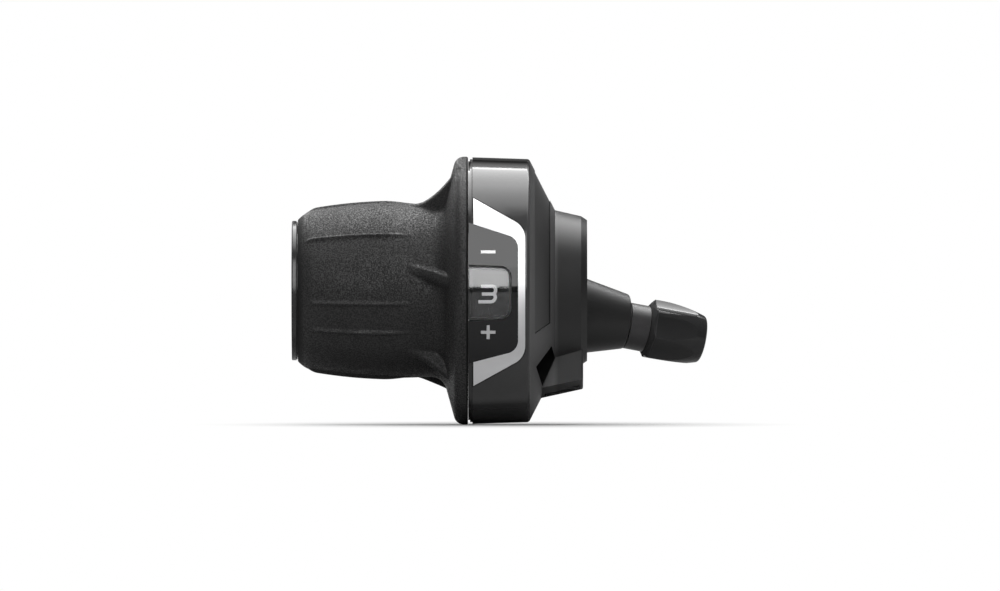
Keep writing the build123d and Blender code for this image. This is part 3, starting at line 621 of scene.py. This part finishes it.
class Shader(Nodes):
    """A node material with one principled shader."""

    def __init__(self, name, **sockets):
        self.material = bpy.data.materials.new(name)
        self.material.use_nodes = True
        super().__init__(self.material.node_tree)
        self.bsdf = self.tree.nodes["Principled BSDF"]
        for socket, value in sockets.items():
            self.bsdf.inputs[socket.replace("_", " ")].default_value = value

    def place(self):
        return self.node("ShaderNodeTexCoord").outputs["Object"]

    def geometry(self):
        return self.node("ShaderNodeNewGeometry").outputs

    def noise(self, size_mm, detail=2.0, rough=0.5):
        made = self.node("ShaderNodeTexNoise", Scale=1 / (size_mm * MM), Detail=detail, Roughness=rough)
        self.link(self.place(), made.inputs["Vector"])
        return made.outputs["Fac"]

    def across(self, value, low, high, ends_mm):
        """A ramp between two places in millimetres."""
        return self.ramp(value, low, high, ends_mm[0] * MM, ends_mm[1] * MM)

    def colour(self, share, low, high):
        """Sets the colour, from low to high by the share."""
        made = self.node("ShaderNodeMix", data_type="RGBA", A=(*low, 1), B=(*high, 1))
        self.link(share, made.inputs["Factor"])
        self.link(made.outputs["Result"], self.bsdf.inputs["Base Color"])

    def mottled(self, colour, dark, light, size_mm, detail=3.0):
        """Sets the colour, mottled from its dark to its light share."""
        low = [c * dark for c in colour]
        high = [c * light for c in colour]
        self.colour(self.noise(size_mm, detail), low, high)

    def rough(self, value):
        self.link(value, self.bsdf.inputs["Roughness"])

    def uneven(self, rough, size_mm, spread=ROUGH_SPREAD, detail=3.0):
        """Sets a roughness that strays by the spread to both sides."""
        low, high = rough * (1 - spread), rough * (1 + spread)
        self.rough(self.ramp(self.noise(size_mm, detail), low, high, *NOISE_RANGE))

    def dulled(self, polish):
        """Makes the surface dull where the polish is 0."""
        made = self.node("ShaderNodeMix", data_type="FLOAT", A=1.0)
        self.link(polish, made.inputs["Factor"])
        self.link(self.bsdf.inputs["Roughness"].links[0].from_socket, made.inputs["B"])
        self.rough(made.outputs["Result"])

    def recess(self, reach_mm):
        """From 0 deep in a recess to 1 in the open."""
        made = self.node("ShaderNodeAmbientOcclusion", samples=RECESS_SAMPLES, only_local=True)
        made.inputs["Distance"].default_value = reach_mm * MM
        return self.ramp(made.outputs["AO"], 0, 1, *RECESS_SKY)

    def front_face(self):
        """1 where the surface looks along Y and 0 on its bevels and sides."""
        toward = self.split(self.geometry()["Normal"])["Y"]
        return self.ramp(self.math("ABSOLUTE", toward), 0, 1, *FACE_LOOK)

    def flatter(self, share):
        """Turns normals that look along Y part of the way to it, as on a face less round than its solid."""
        normal = self.geometry()["Normal"]
        straight = self.node("ShaderNodeCombineXYZ")
        self.link(self.math("SIGN", self.split(normal)["Y"]), straight.inputs["Y"])
        turned = self.node("ShaderNodeMix", data_type="VECTOR")
        self.link(self.ramp(self.front_face(), 0, share), turned.inputs["Factor"])
        self.link(normal, turned.inputs["A"])
        self.link(straight.outputs[0], turned.inputs["B"])
        flat = self.vector("NORMALIZE", turned.outputs["Result"])["Vector"]
        self.link(flat, self.bsdf.inputs["Normal"])

    def bump(self, height, depth_mm):
        made = self.node("ShaderNodeBump", Distance=depth_mm * MM, Strength=1.0)
        self.link(height, made.inputs["Height"])
        self.link(made.outputs["Normal"], self.bsdf.inputs["Normal"])


def plain_plastic(name, colour, rough, grain, depth, **sockets):
    """Moulded plastic: a faint mottle in its colour and gloss, and a fine skin."""
    look = Shader(name, **sockets)
    look.mottled(colour, dark=0.88, light=1.12, size_mm=6.0)
    look.uneven(rough, size_mm=1.4)
    look.bump(look.noise(grain), depth)
    return look


def face_plastic(name, colour, rough, shine):
    """Polished plastic of the display, a little flatter than its solid."""
    look = Shader(name, Specular_IOR_Level=shine)
    look.mottled(colour, dark=0.9, light=1.0, size_mm=6.0)
    look.uneven(rough, size_mm=1.4)
    look.dulled(look.recess(FACE_RECESS))
    look.flatter(FACE_FLAT)
    return look.material


def metal(name, colour, rough, grain):
    """Metal with a fine grain in its gloss."""
    look = Shader(name, Metallic=1.0)
    look.mottled(colour, dark=0.93, light=1.0, size_mm=2.5)
    look.uneven(rough, size_mm=grain)
    look.bump(look.noise(grain), METAL_GRAIN_DEPTH)
    return look.material


def paint(name, colour):
    """Printed paint of the signs and numbers."""
    look = Shader(name)
    look.mottled(colour, dark=0.94, light=1.0, size_mm=0.5, detail=2.0)
    look.uneven(rough=0.45, size_mm=0.4, spread=0.1, detail=2.0)
    return look.material


def rubber_material():
    """Dull moulded rubber with a fine light speckle, and painted shade that darkens its nose and its open
    edge.
    """
    look = Shader("grip_rubber", Specular_IOR_Level=0.4)
    grain = look.noise(RUBBER_GRAIN, rough=RUBBER_GRAIN_ROUGH)
    patch = look.ramp(look.noise(RUBBER_PATCH), *RUBBER_PATCH_SPREAD, *NOISE_RANGE)
    speckle = look.ramp(look.product(grain, patch), 0, 1, *RUBBER_SPECKLE)
    x = look.split(look.place())["X"]
    low, high = (v.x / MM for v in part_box("rubber_grip"))
    # Painted shade: the colour darkens at the nose and goes to black at the flange's open edge; clear is 1
    # where neither falls
    nose = look.across(x, NOSE_PAINTED_SHADE, 1, [low + end for end in NOSE_PAINTED_SHADE_X])
    edge_painted_shade = look.across(x, 1, 0, [high + end for end in EDGE_PAINTED_SHADE_X])
    clear = look.product(nose, edge_painted_shade)
    look.colour(look.product(look.ramp(speckle, RUBBER_BETWEEN, 1), clear), (0, 0, 0), RUBBER_COLOUR)
    look.rough(look.ramp(look.product(speckle, clear), *RUBBER_ROUGH))
    look.dulled(clear)
    look.bump(grain, RUBBER_GRAIN_DEPTH)
    return look.material


def body_material():
    """Black moulding: polished drum, satin cone, clamp and spout; its recesses are dull and darkened with
    painted shade, and the drum's top is darkened with painted shade.
    """
    look = Shader("body_black", Specular_IOR_Level=0.42)
    place = look.split(look.place())
    x, z = place["X"], place["Z"]
    look.rough(look.across(x, DRUM_ROUGH, SATIN_ROUGH, SATIN_X))
    # Painted shade: the recess share dulls the gloss and also darkens the colour in recesses; clear is 1 in
    # the open
    clear = look.recess(BODY_RECESS)
    look.dulled(clear)
    turn = look.math("ARCTAN2", z, look.math("MULTIPLY", place["Y"], -1.0))
    pad = look.product(
        look.band(x, PAD_X[0] * MM, PAD_X[1] * MM, PAD_EDGE * MM),
        look.band(turn, *PAD_TURN, PAD_TURN_EDGE),
    )
    tone_and_painted_shade = look.product(
        look.across(x, DRUM_TONE, CONE_TONE, CONE_X),
        look.across(x, 1, CLAMP_TONE, CLAMP_X),
        # Painted shade: the drum darkens towards its top
        look.across(z, 1, CROWN_PAINTED_SHADE, CROWN_PAINTED_SHADE_Z),
        look.ramp(pad, 1, PAD_TONE),
        look.ramp(look.noise(BODY_MOTTLE, detail=3.0), *MOTTLE_SPREAD),
        clear,
    )
    look.colour(tone_and_painted_shade, BODY_BLACK, BODY_COLOUR)
    look.bump(look.noise(BODY_SKIN), BODY_SKIN_DEPTH)
    return look.material


def knob_material():
    """Polished knob with a dull back edge beside the collar."""
    colour = (0.019, 0.019, 0.0193)
    look = plain_plastic("knob_black", colour, rough=0.07, grain=0.3, depth=0.002, Specular_IOR_Level=0.28)
    joint = next(j for j in frame["joints"] if j["name"] == "adjuster_turn")
    out = look.vector("SUBTRACT", look.place(), joint["pos_m"])["Vector"]
    along = look.vector("DOT_PRODUCT", out, joint["axis"])["Value"]
    look.dulled(look.across(along, 0, 1, KNOB_EDGE))
    return look.material


def ring_material():
    """Black ring with a polished band round it; its edges are dull and darkened with painted shade."""
    look = Shader("ring_black")
    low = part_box("end_ring")[0].x
    start, end = (low + x * MM for x in RING_BAND)
    band = look.band(look.split(look.place())["X"], start, end, RING_BAND_EDGE * MM)
    look.rough(look.ramp(band, *RING_ROUGH))
    mottle = look.ramp(look.noise(RING_MOTTLE), *MOTTLE_SPREAD)
    # Painted shade: the colour goes dark outside the polished band, at both edges of the ring
    look.colour(look.product(band, mottle), RING_PAINTED_SHADE, RING_COLOUR)
    look.bump(look.noise(RING_SKIN), RING_SKIN_DEPTH)
    return look.material


def window_material():
    """Clear plastic with frosted bevels, whose back scatters light onto the number."""
    look = Shader(
        "window_clear",
        Base_Color=(0.97, 0.97, 0.98, 1),
        Transmission_Weight=1.0,
        IOR=1.45,
        Coat_Weight=0.5,
    )
    look.rough(look.ramp(look.noise(WINDOW_WAVE), *WINDOW_ROUGH, *NOISE_RANGE))
    geometry = look.geometry()
    to_back = look.math("GREATER_THAN", look.split(geometry["Normal"])["Y"], 0.0)
    out_at_back = look.product(look.ramp(geometry["Backfacing"], 1, 0), to_back)
    look.dulled(look.product(look.front_face(), look.ramp(out_at_back, 1, 0)))
    look.flatter(FACE_FLAT)
    return look.material


def finish_nodes():
    """Gives every solid its material."""
    steel = metal("steel", (0.42, 0.42, 0.43), rough=0.3, grain=0.4)
    spring_steel = metal("spring_steel", (0.62, 0.62, 0.64), rough=0.25, grain=0.3)
    acetal = plain_plastic("acetal", (0.62, 0.61, 0.58), rough=0.4, grain=0.3, depth=0.006).material
    core = plain_plastic("core_black", (0.02, 0.02, 0.02), rough=0.45, grain=0.3, depth=0.01)
    plug = plain_plastic("plug_black", (0.012, 0.012, 0.0123), rough=0.4, grain=0.2, depth=0.006)
    collar = plain_plastic("collar_black", (0.022, 0.021, 0.022), rough=0.38, grain=0.25, depth=0.006)
    finishes = {
        "main_body": body_material(),
        "end_ring": ring_material(),
        "display_panel": face_plastic("panel_black", (0.006, 0.006, 0.0065), rough=0.04, shine=0.42),
        "display_window": window_material(),
        "display_trim": metal("trim_silver", (0.8, 0.8, 0.81), rough=0.44, grain=0.12),
        "clamp_bolt": steel,
        "clamp_nut": metal("blackened_steel", (0.03, 0.03, 0.031), rough=0.5, grain=0.4),
        "thrust_washer": steel,
        "port_plug": plug.material,
        "thread_insert": metal("brass", (0.75, 0.55, 0.24), rough=0.3, grain=0.3),
        "detent_spring": spring_steel,
        "adjuster_spring": spring_steel,
        "grip_core": core.material,
        "cable_winder": acetal,
        "cable_guide": acetal,
        "number_segment": face_plastic("segment_grey", (0.007, 0.0069, 0.0071), rough=0.12, shine=0.1),
        "adjuster_collar": collar.material,
        "adjuster_barrel": metal("barrel_metal", (0.55, 0.55, 0.56), rough=0.28, grain=0.3),
        "adjuster_knob": knob_material(),
    }
    for node, material in finishes.items():
        materials = frame["nodes"][node].data.materials
        materials.clear()
        materials.append(material)


def glow_material():
    """Light of the level that the mesh gives at each point."""
    material = bpy.data.materials.new("softbox")
    material.use_nodes = True
    material.node_tree.nodes.clear()
    nodes = Nodes(material.node_tree)
    level = nodes.node("ShaderNodeAttribute", attribute_name="level")
    glow = nodes.node("ShaderNodeEmission")
    nodes.link(level.outputs["Fac"], glow.inputs["Strength"])
    nodes.link(glow.outputs[0], nodes.node("ShaderNodeOutputMaterial").inputs["Surface"])
    return material


def fine_levels(knots):
    """The knots with more angles between them, so that the box is round."""
    out = [knots[0]]
    for (a, low), (b, high) in zip(knots, knots[1:]):
        parts = max(1, math.ceil((b - a) / BOX_STEP))
        out += [(mix(a, b, t / parts), mix(low, high, t / parts)) for t in range(1, parts + 1)]
    return out


def arc_box(name, knots, distance, sides, material):
    """A curved softbox over the object, between two angles to its sides."""
    ends = [distance * math.tan(math.radians(side)) for side in sides]
    levels = fine_levels(knots)
    verts, glow = [], []
    for angle, level in levels:
        a = math.radians(angle)
        verts += [(CENTRE_X + end, -distance * math.cos(a), distance * math.sin(a)) for end in ends]
        glow += [level, level]
    faces = [(2 * i, 2 * i + 2, 2 * i + 3, 2 * i + 1) for i in range(len(levels) - 1)]
    mesh = bpy.data.meshes.new(name)
    mesh.from_pydata(verts, [], faces)
    mesh.attributes.new("level", "FLOAT", "POINT").data.foreach_set("value", glow)
    mesh.materials.append(material)
    piece = add_object(name, mesh)
    piece.visible_camera = False
    piece.visible_shadow = False


def fill_lamp():
    """Soft fill from above the camera, which the polish doesn't show."""
    data = bpy.data.lights.new("fill", "AREA")
    data.shape = "RECTANGLE"
    data.size, data.size_y = FILL_SIZE
    data.energy = FILL_LEVEL * math.pi * data.size * data.size_y
    piece = add_object("fill", data)
    up = math.radians(FILL_ELEVATION)
    aim = Vector((0, math.cos(up), -math.sin(up)))
    piece.location = Vector((CENTRE_X, 0, 0)) - FILL_DISTANCE * aim
    piece.rotation_euler = aim.to_track_quat("-Z", "Y").to_euler()
    piece.visible_glossy = False


def lights():
    glow = glow_material()
    arc_box("front_strip", FRONT_LEVELS, FRONT_DISTANCE, FRONT_SIDES, glow)
    arc_box("top_strip", TOP_RISE + TOP_LINE + TOP_FALL, TOP_DISTANCE, TOP_SIDES, glow)
    arc_box("back_strip", BACK_LEVELS, BACK_DISTANCE, BACK_SIDES, glow)
    fill_lamp()


def world():
    """White behind the object for what is seen or mirrored, and a dim room elsewhere."""
    made = bpy.data.worlds.new("studio")
    bpy.context.scene.world = made
    made.use_nodes = True
    made.node_tree.nodes.clear()
    nodes = Nodes(made.node_tree)
    camera_ray, mirrored = nodes.seen()
    toward = nodes.split(nodes.node("ShaderNodeTexCoord").outputs["Generated"])
    behind = nodes.step(toward["Y"], *BACKDROP_Y)
    low = nodes.step(toward["Z"], *BACKDROP_Z)
    backdrop = nodes.factor("MULTIPLY", behind, low)
    white = nodes.factor("MAXIMUM", camera_ray, nodes.factor("MULTIPLY", mirrored, backdrop))
    light = nodes.node("ShaderNodeBackground", Color=(1, 1, 1, 1))
    nodes.link(nodes.ramp(white, ROOM_LEVEL, 1.0), light.inputs["Strength"])
    nodes.link(light.outputs[0], nodes.node("ShaderNodeOutputWorld").inputs["Surface"])


def floor_material():
    """Floor that shows the shadow near the object and goes over to the white backdrop."""
    grey = (FLOOR_GREY, FLOOR_GREY, FLOOR_GREY, 1)
    look = Shader("floor", Base_Color=grey, Roughness=FLOOR_ROUGH, Specular_IOR_Level=0.0)
    camera_ray, mirrored = look.seen()
    place = look.place()
    y = look.split(place)["Y"]

    # What the polish mirrors: the far floor, and a band below the object that glows white only in
    # reflections, a painted reflection
    far_floor = look.step(y, *MIRROR_BACK)
    band = look.factor("MULTIPLY", look.step(y, *PAINTED_REFLECTION_FROM), look.step(y, *PAINTED_REFLECTION_TO))
    below = look.factor("MAXIMUM", far_floor, look.factor("MULTIPLY", band, PAINTED_REFLECTION_SHARE))
    in_polish = look.factor("MULTIPLY", mirrored, below)

    # What the camera sees: white, apart from the oval where the shadow shows
    stretch, shift = (SHADOW_WIDTH, 1, 0), (-CENTRE_X * SHADOW_WIDTH, 0, 0)
    oval = look.vector("MULTIPLY_ADD", place, stretch, shift)["Vector"]
    away = look.step(look.vector("LENGTH", oval)["Value"], SHADOW_NEAR, SHADOW_FAR)
    in_view = look.factor("MULTIPLY", camera_ray, look.ramp(away, SHADOW_SHARE, 1.0))

    white = look.factor("MAXIMUM", in_view, in_polish)
    both = look.node("ShaderNodeMixShader")
    look.feed(both, (white, look.bsdf.outputs[0], look.node("ShaderNodeEmission").outputs[0]))
    look.link(both.outputs[0], look.tree.nodes["Material Output"].inputs["Surface"])
    return look.material


def floor():
    z, r = cad_low.z, FLOOR_REACH
    mesh = bpy.data.meshes.new("floor")
    mesh.from_pydata([(-r, -r, z), (r, -r, z), (r, r, z), (-r, r, z)], [], [(0, 1, 2, 3)])
    mesh.materials.append(floor_material())
    piece = add_object("floor", mesh)


def camera():
    """The photograph's view, level and from far in front."""
    data = bpy.data.cameras.new("camera")
    data.sensor_width = SENSOR_W
    data.lens = SENSOR_W * CAMERA_BACK * PX_PER_MM / PHOTO_W
    piece = add_object("camera", data)
    x = (PHOTO_W / 2 - CLAMP_PX) / PX_PER_MM
    z = (AXIS_PX - PHOTO_H / 2) / PX_PER_MM
    piece.location = Vector((x, -CAMERA_BACK, z)) * MM
    piece.rotation_euler = (math.pi / 2, 0, 0)
    bpy.context.scene.camera = piece


finish_nodes()
rubber_grip().data.materials.append(rubber_material())
drum_lip(frame["nodes"]["main_body"].data.materials[0])
white_print = paint("white_print", (0.9, 0.9, 0.9))
numbers(white_print)
marks(white_print, paint("grey_print", (0.45, 0.45, 0.46)))
lights()
world()
floor()
camera()
bpy.context.scene.view_settings.view_transform = "Standard"
